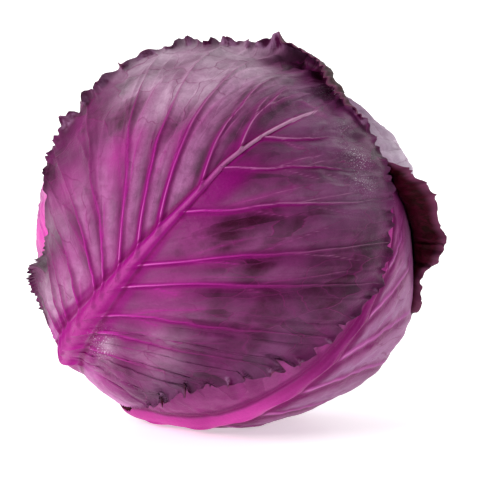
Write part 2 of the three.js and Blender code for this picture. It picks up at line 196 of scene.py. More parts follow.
class LeafLayout:
    # a leaf laid out flat, in degrees round its middle: angle 0 points to the crown, +90 to its right

    def __init__(self, plan):
        self.plan = plan
        out = turned(frontAxis, stemAxis, plan["turn"])
        a = math.radians(headShape["leafMiddle"])
        self.middle = stemAxis * math.cos(a) + out * math.sin(a)
        self.toCrown = -stemAxis * math.sin(a) + out * math.cos(a)
        self.toRight = np.cross(self.toCrown, self.middle)
        self.outline = curveThrough(plan["outline"])
        self.bow = curveThrough(plan["bow"])  # how far the midrib swings to the right of straight
        self.stripWidth, self.stripTurn, self.ruffle, self.tooth, self.frill = (
            curveThrough([[row[0], row[column]] for row in plan["margin"]]) for column in range(1, 6))
        self.foldRadius = curveThrough(plan["folds"])
        self.sides = []
        for sign, veins, foot in (
            (1, plan["rightVeins"], plan["outline"][-1]),
            (-1, plan["leftVeins"], plan["outline"][0]),
        ):
            ends = curveThrough([[ribStart, foot[0]]] + veins + [plan["tip"]])
            self.sides.append({"sign": sign, "veins": veins, "angle": ends})

    def direction(self, reach, angle):
        r, a = np.radians(reach)[..., None], np.radians(angle)[..., None]
        across = self.toCrown * np.sin(r) * np.cos(a) + self.toRight * np.sin(r) * np.sin(a)
        return self.middle * np.cos(r) + across

    def reach(self, angle):
        # the outline, with its tears
        reach = self.outline(angle)
        for at, half, depth in self.plan["tears"]:
            reach = reach - depth * np.exp(-(np.abs(angle - at) / half) ** 3)
        return reach

    def turnAt(self, angle):
        # outward turn of the margin, with the curls that stand in it
        turn = self.stripTurn(angle)
        for at, half, extra in self.plan["curls"]:
            turn = turn + extra * ridge(angle - at, half)
        return np.maximum(np.radians(turn), 0.011)

    def swell(self, x, y):
        return sum((bell(x, y, patch) for patch in self.plan["swells"]), np.zeros_like(x))

    def inside(self, direction):
        reach = np.degrees(np.arccos(np.clip(direction @ self.middle, -1, 1)))
        angle = np.degrees(np.arctan2(direction @ self.toRight, direction @ self.toCrown))
        return self.reach(angle) - reach

    def rowPoint(self, side, station, t):
        # t runs from 0 on the midrib to 1 on the margin, as a side vein does
        startX, startY = station, self.bow(station)
        angle = side["angle"](station)
        reach = self.reach(angle)
        endX, endY = reach * np.cos(np.radians(angle)), reach * np.sin(np.radians(angle))
        chord = np.arctan2(endY - startY, endX - startX)
        tip = self.plan["tip"][0]
        freed = smooth(station, ribStart, ribStart + 24) * (1 - smooth(station, tip - 14, tip))
        leave = mix(chord, side["sign"] * veinAngle, freed)
        length = 0.45 * np.hypot(endX - startX, endY - startY)
        midX, midY = startX + length * np.cos(leave), startY + length * np.sin(leave)
        x = (1 - t) ** 2 * startX + 2 * t * (1 - t) * midX + t * t * endX
        y = (1 - t) ** 2 * startY + 2 * t * (1 - t) * midY + t * t * endY
        return x, y

    def spread(self, side, station, t):
        # millimetres between rows one station apart
        step = 0.25
        x, y = self.rowPoint(side, station, t)
        nx, ny = self.rowPoint(side, station, np.minimum(t + 0.02, 1))
        fx, fy = self.rowPoint(side, station, np.maximum(t - 0.02, 0))
        ax, ay = self.rowPoint(side, station + step, t)
        length = np.maximum(np.hypot(nx - fx, ny - fy), 1e-6)
        cross = np.abs((ax - x) * (ny - fy) - (ay - y) * (nx - fx)) / length
        return np.maximum(cross / step * mmPerDegree, 0.15)

    def ribHalfWidth(self, station):
        start, end, until = self.plan["ribWidth"]
        return mix(start, end, smooth(station, ribStart, until) ** 0.7)

    def ribHeight(self, station):
        swell = smooth(station, ribStart, -60)
        return mix(1.2, 2.6, swell) * (1 - smooth(station, -60, self.plan["tip"][0])) + 0.4


def polar(x, y):
    return np.hypot(x, y), np.degrees(np.arctan2(y, x))


def layerDepth(layout, direction):
    apart = smooth(degreesFromStem(direction), headShape["joinAt"], headShape["partAt"])
    layer = layout.plan["layer"]
    if layout is layouts["front"]:
        layer = layer - smooth(layouts["back"].inside(direction), -12, -3)
    return headShape["pitch"] * layer * apart


def ripple(along):
    slow = np.sin(2 * np.pi * along / 41)
    return 0.6 * np.sin(2 * np.pi * along / 17 + 1.6 * slow) + 0.4 * np.sin(2 * np.pi * along / 27 + 1)


def broadTeeth(along, seed):
    return 1.4 * lumps(along, along * 0, 7.5, seed + 20) + 0.5 * lumps(along, along * 0, 17, seed + 21)


def fineTeeth(along, seed):
    # ragged small teeth, no two alike, with calm stretches between
    sharp = 1 - 2.6 * np.abs(lumps(along, along * 0, 2.7, seed))
    small = 0.6 * lumps(along, along * 0, 1.1, seed + 1)
    return (0.8 * sharp + small) * (0.35 + 0.65 * smooth(lumps(along, along * 0, 8, seed + 2), -0.4, 0.5))


def leafPoint(layout, x, y, lift):
    # a point of the leaf: its place in the flat layout and its height over the leaf's outside
    seed = layout.plan["seed"]
    reach, angle = polar(x, y)
    edge, width = layout.reach(angle), layout.stripWidth(angle)
    into = np.clip(width - (edge - reach) * mmPerDegree, 0, width)
    share = into / width
    turn = layout.turnAt(angle)
    radius = np.minimum(width / turn, layout.foldRadius(angle))
    bend = np.minimum(into / radius, turn)
    straight = np.maximum(into - radius * turn, 0)
    along = edge * np.radians(angle) * mmPerDegree
    tooth = layout.tooth(angle) * share * broadTeeth(along, seed)
    tooth = tooth + layout.frill(angle) * share ** 2 * fineTeeth(along, seed)
    wander = 0.7 * lumps(along, share * 6, 5, seed + 5) * layout.ruffle(angle) * share
    beyond = straight + tooth + wander
    flat = radius * np.sin(bend) + beyond * np.cos(bend)
    raised = radius * (1 - np.cos(bend)) + beyond * np.sin(bend)
    wave = layout.ruffle(angle) * share ** 2 * (0.5 + 0.5 * ripple(along))
    crimp = np.sin(2 * np.pi * (along + 2.5 * lumps(along, along * 0, 8, seed + 3)) / 7.5)
    crimp = crimp * (1 + 0.6 * lumps(along, along * 0, 12, seed + 4))
    wave = wave + 0.8 * layout.frill(angle) * share ** 1.5 * crimp
    over = wave + lift
    inner = np.where(into > 0, edge - width / mmPerDegree, reach)
    place = inner + np.where(into > 0, flat - over * np.sin(bend), 0) / mmPerDegree
    direction = layout.direction(place, angle)
    height = shellRadius(direction) - layerDepth(layout, direction) + raised + over * np.cos(bend)
    height = height + layout.swell(x, y)
    return direction * height[..., None]


def settle(points, floorLevel):
    # off the floor, off the stalk and behind the knife cut
    along = points @ stemAxis
    height = np.minimum(along, stalkShape["cutHeight"])
    off = points - along[..., None] * stemAxis
    length = np.linalg.norm(off, axis=-1)
    least = stalkShape["radius"] + headShape["gap"]
    near = (height > stalkShape["bossHeight"]) & (length < least)
    off = off * np.where(near, least / np.maximum(length, 1e-6), 1)[..., None]
    placed = off + height[..., None] * stemAxis
    placed[..., 2] = np.maximum(placed[..., 2], floorLevel - headShape["restHeight"])
    return placed


def undersidePoint(layout, x, y, lift):
    points = leafPoint(layout, x, y, lift)
    fromStem = degreesFromStem(points / np.linalg.norm(points, axis=-1)[..., None])
    height = points @ stemAxis
    off = np.linalg.norm(points - height[..., None] * stemAxis, axis=-1)
    rise = stalkShape["cutHeight"] - stalkShape["length"] - stalkShape["bossHeight"]
    slope = rise / (stalkShape["bossRadius"] - stalkShape["radius"])
    over = np.maximum(off, stalkShape["radius"]) - stalkShape["radius"]
    bed = stalkShape["cutHeight"] - stalkShape["length"] + headShape["gap"] - over * slope
    thin = smooth(fromStem, stalkShape["neckStart"], stalkShape["neckEnd"])
    return points + (mix(np.minimum(bed - height, 0), 0, thin))[..., None] * stemAxis


def makeTwigs(marks, count, seed):
    # small veins that leave the side veins and run out to the margin between them
    random = np.random.default_rng(seed)
    twigs = []
    for k in range(len(marks) - 1):
        low, high = marks[k], marks[k + 1]
        width = high - low
        for i in range(count):
            fromLow = i % 2 == 0
            start = low if fromLow else high
            t0 = random.uniform(0.15, 0.35) + 0.5 * (i // 2) / max(count / 2, 1)
            target = start + (1 if fromLow else -1) * width * random.uniform(0.35, 0.6)
            t1 = min(1.0, t0 + random.uniform(0.2, 0.4))
            twigs.append((start, target, t0, t1, random.uniform(0.4, 0.75)))
            if random.random() < 0.6:
                t2 = mix(t0, t1, 0.45)
                part = start + (target - start) * 0.45 ** 0.8
                end = part + (-1 if fromLow else 1) * width * random.uniform(0.05, 0.16)
                twigs.append((part, end, t2, min(1.0, t2 + 0.35), random.uniform(0.25, 0.45)))
    return twigs


def veinFields(layout, side, station, t, spread, twigs):
    # height and colour of side veins, the painted shade beside them, and how far each point lies from the
    # nearest one
    seed = layout.plan["seed"] + (7 if side["sign"] > 0 else 19)
    height = np.zeros_like(t)
    core = np.zeros_like(t)
    flank = np.zeros_like(t)
    away = np.full_like(t, 60.0)
    strength = layout.plan["veinSides"][0 if side["sign"] > 0 else 1]
    for k, vein in enumerate(side["veins"]):
        wobble = 1.9 * lumps(t * 110, t * 0 + 9.5 * k, 20, seed)
        wobble = wobble + 0.35 * lumps(t * 110, t * 0 + 3.5 * k, 5, seed + 3)
        signed = (station - vein[0]) * spread + wobble * smooth(t, 0.05, 0.35)
        d = np.abs(signed)
        width = mix(*layout.plan["veinWidth"], t ** 0.7) * (1 - 0.4 * smooth(vein[0], 5, 30))
        height = np.maximum(height, strength * mix(*layout.plan["veinHeight"], t) * ridge(d, width))
        core = np.maximum(core, strength * mix(1.0, 0.45, t) * ridge(d, 0.62 * width))
        # painted shade in deep magenta beside each vein, mostly on its one side
        beside = ridge(signed + 1.2 * width, 1.6 * width) + 0.25 * ridge(signed - 1.2 * width, width)
        flank = np.maximum(flank, strength * mix(1.0, 0.0, smooth(t, 0.3, 1.0)) * np.minimum(beside, 1))
        away = np.minimum(away, d)
    for k, (start, target, t0, t1, weight) in enumerate(twigs):
        part = np.clip((t - t0) / (t1 - t0), 0, 1)
        line = start + (target - start) * part ** 0.8
        wobble = 0.5 * lumps(t * 110, t * 0 + 5.5 * k, 9, seed + 1) * smooth(part, 0, 0.3)
        d = np.abs((station - line) * spread + wobble)
        live = smooth(t, t0 - 0.01, t0 + 0.02) * (1 - smooth(t, t1 - 0.12, t1)) * weight * strength
        width = mix(0.7, 0.42, part)
        height = np.maximum(height, 0.5 * live * ridge(d, width))
        core = np.maximum(core, 0.8 * live * ridge(d, 0.8 * width))
        # painted shade beside each small vein
        flank = np.maximum(flank, 0.35 * live * ridge(d - 0.8, 1.0))
        away = np.minimum(away, d + 8 * (1 - np.minimum(live * 1.6, 1)))
    return height, core, flank, away


def exposure(layout, direction):
    # 1 where the leaf is seen, 0 under the leaves that lap over it
    seen = np.ones(direction.shape[:-1])
    for cover in layout.covers:
        seen = seen * (1 - smooth(cover.inside(direction), -5, -1))
    return seen


def rowStations(layout, side, marks, counts, t):
    # rows for the mesh: close together beside each vein, even in between
    near = np.array([0.4, 0.85, 1.4, 2.1])
    common = 1 / (math.sin(veinAngle) * mmPerDegree)
    rows = [np.full(t.shape[-1], marks[0])]
    for k in range(len(marks) - 1):
        low, high = marks[k], marks[k + 1]
        tt = t[len(rows) - 1]
        blend = smooth(tt, 0, 0.15)
        limit = 0.34 * (high - low) / near[-1]
        a = np.minimum(mix(common, 1 / layout.spread(side, np.full_like(tt, low + 0.01), tt), blend), limit)
        b = np.minimum(mix(common, 1 / layout.spread(side, np.full_like(tt, high - 0.26), tt), blend), limit)
        for step in near:
            rows.append(low + a * step)
        first, last = low + a * near[-1], high - b * near[-1]
        for i in range(1, counts[k]):
            rows.append(mix(first, last, i / counts[k]))
        for step in near[::-1]:
            rows.append(high - b * step)
        rows.append(np.full_like(tt, high))
    return np.array(rows)


def layRows(layout):
    # for each side, where the rows run and how far out each of their points is
    plan = layout.plan
    marks = sorted({vein[0] for side in layout.sides for vein in side["veins"]} | {ribStart, plan["tip"][0]})
    counts = []
    for low, high in zip(marks[:-1], marks[1:]):
        longest = 0
        for side in layout.sides:
            ends = np.linspace(low, high, 12)
            ex, ey = layout.rowPoint(side, ends, np.ones(12))
            longest = max(longest, np.hypot(np.diff(ex), np.diff(ey)).sum() * mmPerDegree)
        counts.append(max(2, int(round(longest / plan["rowSpacing"])) - 6))
    total = 1 + sum(8 + count for count in counts)

    # columns from the midrib out: some over the rib, then even, then close together at the margin
    ribColumns = np.array([0, 0.14, 0.28, 0.42, 0.56, 0.7, 0.84, 1.0, 1.2, 1.45])
    between = np.linspace(0, 1, plan["columns"] + 1)[1:]
    strip = np.linspace(0, 1, plan["stripColumns"] + 1)[1:]
    grids = []
    for side in layout.sides:
        guess = np.interp(np.linspace(0, 1, total), np.linspace(0, 1, len(marks)), marks)
        sx, sy = layout.rowPoint(side, guess, np.zeros(total))
        ex, ey = layout.rowPoint(side, guess, np.ones(total))
        length = np.hypot(ex - sx, ey - sy)
        foot = np.minimum(layout.ribHalfWidth(guess) / math.sin(veinAngle) / length, 0.13)[:, None]
        trial = np.linspace(0.4, 1, 121)[None, :]
        tx, ty = layout.rowPoint(side, guess[:, None], trial)
        trialReach, trialAngle = polar(tx, ty)
        fromEdge = (layout.reach(trialAngle) - trialReach) * mmPerDegree
        inStrip = fromEdge < layout.stripWidth(trialAngle) + 0.5
        begin = trial[0, np.argmax(inStrip, axis=1)]
        begin = np.convolve(np.pad(begin, 6, mode="edge"), np.ones(13) / 13, "valid")[:, None]
        rim = foot * ribColumns[-1]
        t = np.concatenate([foot * ribColumns[None, :], rim + (begin - rim) * between[None, :],
                            begin + (1 - begin) * strip[None, :]], axis=1)
        grids.append({"t": t, "station": rowStations(layout, side, marks, counts, t)})
    return grids


leafRelief = {  # heights in millimetres
    "bump": 0.34,
    "fineBump": 0.16,
    "crinkle": 0.5,
    "swell": 0.7,
    "groove": 0.3,  # beside the midrib
    "rimThickness": 0.45,
    "panelRise": 4.0,  # how far from a vein its panel is full
    "mapSpan": 100.0,  # to one step of the flat maps
    "sideShift": 300,  # keeps the two sides of a leaf apart in the weave
}

# colours that a leaf's dictionary gives as patches
patchKeys = ("bloom", "ash", "dark", "flush", "stalk", "frost")


def dressSide(layout, s, grid):
    # the points of one side of the leaf, its upper and under face, and the values its finish follows
    plan, side = layout.plan, layout.sides[s]
    t, station, seed = grid["t"], grid["station"], plan["seed"]
    x, y = layout.rowPoint(side, station, t)
    spread = layout.spread(side, station, t)
    marks = sorted({vein[0] for vein in side["veins"]} | {ribStart, plan["tip"][0]})
    twigs = makeTwigs(marks, plan["twigs"], seed + 31 * s)
    height, core, flank, away = veinFields(layout, side, station, t, spread, twigs)
    reach, angle = polar(x, y)
    direction = layout.direction(reach, angle)
    fromStem = degreesFromStem(direction)
    seen = exposure(layout, direction)
    fromRib = np.abs(y - layout.bow(x))
    off = fromRib / layout.ribHalfWidth(x)
    beforeTip = 1 - smooth(x, plan["tip"][0] - 8, plan["tip"][0] + 12)
    rib = np.where(off < 1, (1 - np.minimum(off, 1) ** 2) ** 1.6, 0) * beforeTip
    groove = ridge(off - 1.12, 0.2) * beforeTip
    # painted shade in deep magenta beside the midrib and in the given patches
    flank = np.maximum(flank, 0.9 * ridge(off - 1.5, 0.75 if s == 0 else 0.35))
    flank = np.maximum(flank, highestOf(x, y, plan["ribShade"]))
    edgeMm = (layout.reach(angle) - reach) * mmPerDegree
    # puffed panels, small bumps and slow swells, which die out at the rib, the margin and the stem
    outward = smooth(edgeMm, 2, 14) * smooth(fromRib * mmPerDegree, 1, 9) * smooth(fromStem, 22, 40)
    quilt = plan["quilt"][s] * (1 - ridge(away, leafRelief["panelRise"])) * outward
    quilt = quilt * (1 + 0.35 * lumps(x, y, 9, seed + 2))
    # the spots that carry painted glints are also crinkled
    crinkle = highestOf(x, y, plan["frost"])
    bumps = leafRelief["bump"] * lumps(x, y, 3.2, seed + 3)
    bumps = bumps + leafRelief["fineBump"] * lumps(x, y, 1.3, seed + 4)
    bumps = bumps + leafRelief["crinkle"] * crinkle * lumps(x, y, 1.9, seed + 9)
    bumps = bumps + leafRelief["swell"] * lumps(x, y, 24, seed + 8)
    lift = rib * layout.ribHeight(x) - leafRelief["groove"] * groove + height * beforeTip + quilt
    lift = (lift + bumps * outward) * seen
    thickness = mix(leafRelief["rimThickness"], headShape["bladeThickness"], smooth(edgeMm, 0, 5))
    floorLevel = headShape["pitch"] * max(plan["layer"] - leafRight["layer"], 0)
    grid["top"] = settle(leafPoint(layout, x, y, lift), floorLevel)
    under = undersidePoint(layout, x, y, np.minimum(lift, 0.5) - thickness)
    grid["under"] = settle(under, floorLevel + 0.5)
    grid["flat"] = np.stack([x, y], axis=-1)
    out = np.hypot(x - station, y - layout.bow(station))
    grid["weave"] = np.stack([out, station + leafRelief["sideShift"] * s], axis=-1)
    share = np.clip(1 - edgeMm / layout.stripWidth(angle), 0, 1)
    after = np.searchsorted(marks, station, side="right").clip(1, len(marks) - 1)
    low, high = np.array(marks)[after - 1], np.array(marks)[after]
    across = np.clip((station - low) / (high - low), 0, 1)
    # a painted highlight on the part of each panel just past a vein, fading before the next vein and towards
    # the margin and tip
    panel = smooth(across, 0.03, 0.14) * (1 - smooth(across, 0.25, 0.85)) * smooth(t, 0.02, 0.1)
    panel = panel * (1 - smooth(t, 0.45, 0.8)) * (1 - smooth(station, 14, 38)) * plan["panelHighlights"][s]
    grid["fields"] = {
        "vein": core * beforeTip,
        "flank": flank * beforeTip,
        "rib": rib,
        "groove": groove * (1 - rib),
        "away": away,
        "edge": edgeMm + 20 * (1 - smooth(fromStem, 30, 60)),
        "roll": smooth(share, 0.1, 0.6) * np.clip((layout.turnAt(angle) - 0.9) / 0.9, 0, 1),
        "near": 1 - smooth(t, 0.05, 0.8),
        "tip": smooth(x, 20, 50) * plan["paleTip"],
        "open": seen,
        "panel": panel,
        **{key: highestOf(x, y, plan[key]) for key in patchKeys},
    }


def buildLeaf(name, layout, materials):
    plan = layout.plan
    grids = layRows(layout)
    for s, grid in enumerate(grids):
        dressSide(layout, s, grid)
    rows, columns = grids[0]["t"].shape
    band = columns - plan["stripColumns"] - plan["innerColumns"]
    allPoints, allMaps = [], {"flat": [], "weave": []}
    allValues = {key: [] for key in grids[0]["fields"]}
    counter = 0

    def addBlocks(face, mask):
        # numbers the points of both sides; the midrib and the last row belong to the first side
        nonlocal counter
        numbers = []
        for s, grid in enumerate(grids):
            own = mask.copy()
            if s == 1:
                own[:, 0] = own[-1, :] = False
            block = grid[face][own]
            allPoints.append(block)
            for key, rowsOfMap in allMaps.items():
                rowsOfMap.append(grid[key][own] * mmPerDegree / leafRelief["mapSpan"])
            for key, rowsOfValue in allValues.items():
                rowsOfValue.append(grid["fields"][key][own])
            ids = np.zeros(mask.shape, int)
            ids[own] = np.arange(counter, counter + len(block))
            counter += len(block)
            numbers.append(ids)
        numbers[1][:, 0] = numbers[0][:, 0]
        numbers[1][-1, :] = numbers[0][-1, :]
        return numbers

    baseRows = plan["innerRows"]
    inner = np.zeros((rows, columns), bool)
    inner[:, band:] = inner[:baseRows, :] = True
    topNumbers = addBlocks("top", np.ones((rows, columns), bool))
    underNumbers = addBlocks("under", inner)

    faces, slots = [], []

    def addGrid(numbers, flip, slot):
        corners = [numbers[:-1, :-1], numbers[:-1, 1:], numbers[1:, 1:], numbers[1:, :-1]]
        order = (0, 3, 2, 1) if flip else (0, 1, 2, 3)
        faces.append(np.stack([corners[i] for i in order], axis=-1).reshape(-1, 4))
        slots.append(np.full(len(faces[-1]), slot))

    for side, top, under in zip(layout.sides, topNumbers, underNumbers):
        flip = side["sign"] < 0
        addGrid(top, flip, 0)
        addGrid(under[:, band:], not flip, 1)
        addGrid(under[:baseRows, :band + 1], not flip, 1)
        addGrid(np.stack([top[:, -1], under[:, -1]], axis=1), flip, 1)
        addGrid(np.stack([top[0], under[0]], axis=1), flip, 2)
    points = np.concatenate(allPoints)
    piece = makePiece(
        name, points, np.concatenate(faces), materials, np.concatenate(slots),
        {key: np.concatenate(value) for key, value in allValues.items()},
        {key: np.concatenate(value) for key, value in allMaps.items()},
    )
    print(name, len(points), "points", 2 * len(np.concatenate(faces)), "triangles")
    return piece


# What follows is one dictionary to a leaf. An outline row is angle and reach in degrees. A vein row is the
# place on the midrib where it leaves and the angle where it meets the margin. A margin row is angle, width of
# the rolled strip in millimetres, its outward turn, then ruffles, broad teeth and fine frill in millimetres.
# A bow row is a place on the midrib and its swing to the right. A fold row is angle and radius of the roll.
# Patches are x, y, size along and across in degrees, and strength.

plainLeaf = {
    "paleTip": 0,
    "veinSides": (1, 1),
    "bow": [[-80, 0], [80, 0]],
    "tip": [56, 0],
    **{key: [] for key in ("curls", "tears", "swells", "ribShade") + patchKeys},
}


def mirrored(veins):
    return [[at, -angle] for at, angle in veins]


leafFront = {
    **plainLeaf,
    "turn": 0,
    "layer": 1,
    "seed": 11,
    "columns": 30,
    "stripColumns": 20,
    "innerColumns": 8,
    "rowSpacing": 1.2,
    "innerRows": 14,
    "twigs": 4,
    "quilt": (1.7, -1.5),
    # strength of the painted highlight on the panels of each side
    "panelHighlights": (0.3, 0.9),
    "ribWidth": (6.8, 0.75, 45),
    "veinWidth": (1.05, 0.42),
    "veinHeight": (2.0, 0.5),
    "paleTip": 1,
    "bow": [
        [-78, -2.5], [-60, -1.5], [-41, 1.0], [-28, 2.5], [-15, 3.2], [0, 3.0], [12, 2.6], [22, 1.6],
        [34, -0.3], [50, -1.1], [66, -1.4],
    ],
    "outline": [
        [-172, 82], [-164, 76], [-158, 70], [-152, 63.5], [-148, 54], [-144, 42], [-135, 38.8], [-124, 41],
        [-116, 46.5], [-111, 54], [-106, 58], [-99, 58.8], [-90, 59], [-82, 59.5], [-75, 64.5], [-66, 77.5],
        [-57, 86], [-43, 92.5], [-36, 97], [-30, 104], [-24, 110], [-18, 111], [-13, 106.5], [-8.7, 100.6],
        [-4, 96.4], [0.7, 93], [6.9, 91.8], [12.7, 91.2], [18, 90.6], [24, 89.8], [30, 88.4], [38, 85.3],
        [45, 83], [52, 80.6], [57, 79], [68, 71], [81, 63.5], [92, 58.5], [107, 51.5], [123, 50], [141, 56],
        [152, 65], [164, 76], [172, 82],
    ],
    "rightVeins": [
        [-64, 148], [-52, 118], [-41, 94], [-31, 77], [-17, 58], [-8, 46], [13, 34], [30, 25], [46, 13],
    ],
    "leftVeins": [
        [-66, -159], [-58, -150], [-52, -142], [-46, -133], [-36, -119], [-26, -104], [-21.5, -84],
        [-13, -62], [-4, -46], [5, -31], [22, -18], [38, -10],
    ],
    "tip": [66, -4],
    "margin": [
        [-172, 3, 0, 0, 0, 0], [-160, 5, 20, 0.6, 0.5, 0.4], [-153, 6, 50, 1.2, 0.8, 1],
        [-147, 6, 70, 1.2, 1, 1.1], [-143, 4, 40, 0.7, 0.5, 0.8], [-125, 4, 30, 0.7, 0.6, 0.9],
        [-115, 5, 35, 0.8, 0.8, 1], [-109, 9, 50, 2.2, 2.2, 1.8], [-95, 9, 52, 2.2, 2.2, 1.8],
        [-82, 6, 40, 1.8, 1.7, 1.5], [-70, 5, 24, 1.5, 1.5, 1.4], [-50, 5, 20, 1.4, 1.5, 1.4],
        [-38, 6, 40, 0.9, 0.9, 1], [-33, 11, 110, 0.9, 0.8, 1], [-28, 16, 160, 0.8, 0.8, 1.1],
        [-20, 17, 168, 0.8, 0.8, 1.1], [-12, 16, 168, 0.8, 0.8, 1], [-5, 11, 166, 0.7, 0.6, 0.9],
        [1, 7, 164, 0.5, 0.6, 0.8], [5, 5, 160, 0.4, 0.5, 0.7], [9, 5, 50, 0.5, 0.5, 0.8],
        [13, 5, 22, 0.6, 0.6, 0.8], [45, 5, 22, 0.8, 1.5, 1.1], [75, 5, 22, 0.9, 1.9, 1.2],
        [100, 6, 26, 1.0, 1.6, 1.3], [140, 5, 18, 0.8, 1.3, 1.1], [160, 3, 0, 0.2, 0.3, 0.3],
        [172, 3, 0, 0, 0, 0],
    ],
    "folds": [[-40, 30], [-34, 4], [-28, 2.2], [-18, 2.0], [-11, 1.7], [-4, 1.3], [5, 1.1], [9, 3], [12, 30]],
    "curls": [  # angle, half width, extra turn
        (-93, 3.2, 75), (-84, 1.2, 90), (-77, 1.6, 110), (-71, 1.0, 120), (-66.5, 2.0, 140),
        (-60.5, 1.5, 130),
        (-56.5, 1.1, 90), (-51, 1.2, 120), (-45, 2.4, 140), (-40, 1.0, 80), (-37, 1.2, 90),
        (95, 2.2, 110), (87.5, 1.2, 70), (78, 1.2, 60), (69, 1.0, 50), (60, 1.2, 55), (110, 1.4, 90),
        (127, 1.6, 100),
        (138, 1.4, 90), (33, 1.2, 50),
    ],
    "tears": [  # angle, half width, depth in degrees
        (91.5, 0.9, 6), (138.5, 0.6, 3.4), (126.5, 0.5, 2.6), (147, 0.6, 2), (72.5, 0.7, 2.4), (63, 0.5, 1.6),
        (82, 0.8, 2.2), (104, 0.8, 2.4), (117, 0.6, 2.0), (54, 0.4, 1.4), (47, 0.5, 1.2),
        (-106, 0.9, 2.4), (-113, 0.8, 2), (-80, 0.6, 1.5), (-39.5, 0.5, 2), (-52, 0.4, 1.2), (33, 0.4, 1.0),
    ],
    # pale waxy bloom, partly a painted sheen where the leaf faces the lights, with a painted glint near the
    # base
    "bloom": [
        (36, -64, 22, 12, 0.8), (64, -56, 16, 14, 0.85), (38, -32, 17, 12, 0.95), (60, -33, 14, 11, 0.9),
        (27, -43, 14, 12, 0.75), (50, -44, 12, 9, 0.8), (-36, -10, 10, 6, 0.7), (-24, 26, 10, 6, 0.35),
        (-46, -15, 8, 8, 0.6), (-27, -29, 12, 8, 0.45), (-12, -28, 10, 8, 0.2), (-38, 9, 7, 5, 1.0),
    ],
    # greyish cast, partly a painted sheen
    "ash": [
        (66, 8, 20, 18, 0.85), (74, -12, 12, 14, 0.9), (60, 34, 20, 18, 0.8), (0, 50, 34, 8, 0.5),
        (-36, 34, 20, 8, 0.6), (30, 60, 16, 8, 0.3),
    ],
    "dark": [
        (19, 17, 8, 6, 0.9), (20, 29, 12, 4, 0.8), (27, -21, 13, 8, 0.55), (28, 18, 10, 5, 0.7),
        (96, -30, 8, 14, 0.9), (4, 44, 14, 5, 0.6), (35, 48, 20, 8, 0.6), (8, 12, 8, 4, 0.5),
        (20, 56, 12, 6, 0.6), (10, 38, 12, 4, 0.6), (40, 30, 14, 5, 0.5), (17, -37, 12, 8, 0.6),
        (5, -46, 8, 7, 0.6), (-14, -54, 14, 5, 0.5), (90, -16, 6, 12, 0.7), (30, 4, 12, 5, 0.6),
        (0, 30, 12, 4, 0.5),
    ],
    "flush": [
        (10, -26, 12, 7, 0.9), (-5, 15, 18, 7, 0.55), (-30, 0, 26, 9, 0.7), (-40, 16, 16, 8, 0.3),
        (-60, 14, 12, 10, 0.9), (-26, -14, 14, 6, 0.5), (-13, -32, 10, 8, 0.8), (12, 11, 8, 5, 0.6),
        (28, -20, 12, 7, 0.6), (17, -38, 12, 7, 0.6), (4, -46, 9, 7, 0.6), (40, -40, 5, 10, 0.3),
        (-2, -20, 12, 5, 0.5), (-30, 24, 12, 4, 0.4),
    ],
    "stalk": [(-74, 8, 12, 10, 1.0), (-74, 24, 14, 12, 1.0), (-66, -8, 8, 6, 0.7), (-60, 10, 8, 5, 0.5)],
    # patches of painted shade beside the midrib
    "ribShade": [(27, 5, 15, 5, 0.9), (12, 6, 12, 3, 0.5), (40, -3, 12, 2.5, 0.6)],
    # crinkled spots that carry painted glints
    "frost": [
        (72, 24, 5, 7, 0.9), (66, 34, 5, 5, 0.7), (-38, 10, 6, 4, 0.9), (78, 10, 4, 4, 0.5),
        (88, -12, 5, 5, 0.5),
    ],
}

backVeins = [[-60, 146], [-46, 124], [-32, 102], [-18, 82], [-4, 64], [10, 48], [26, 33], [42, 18]]

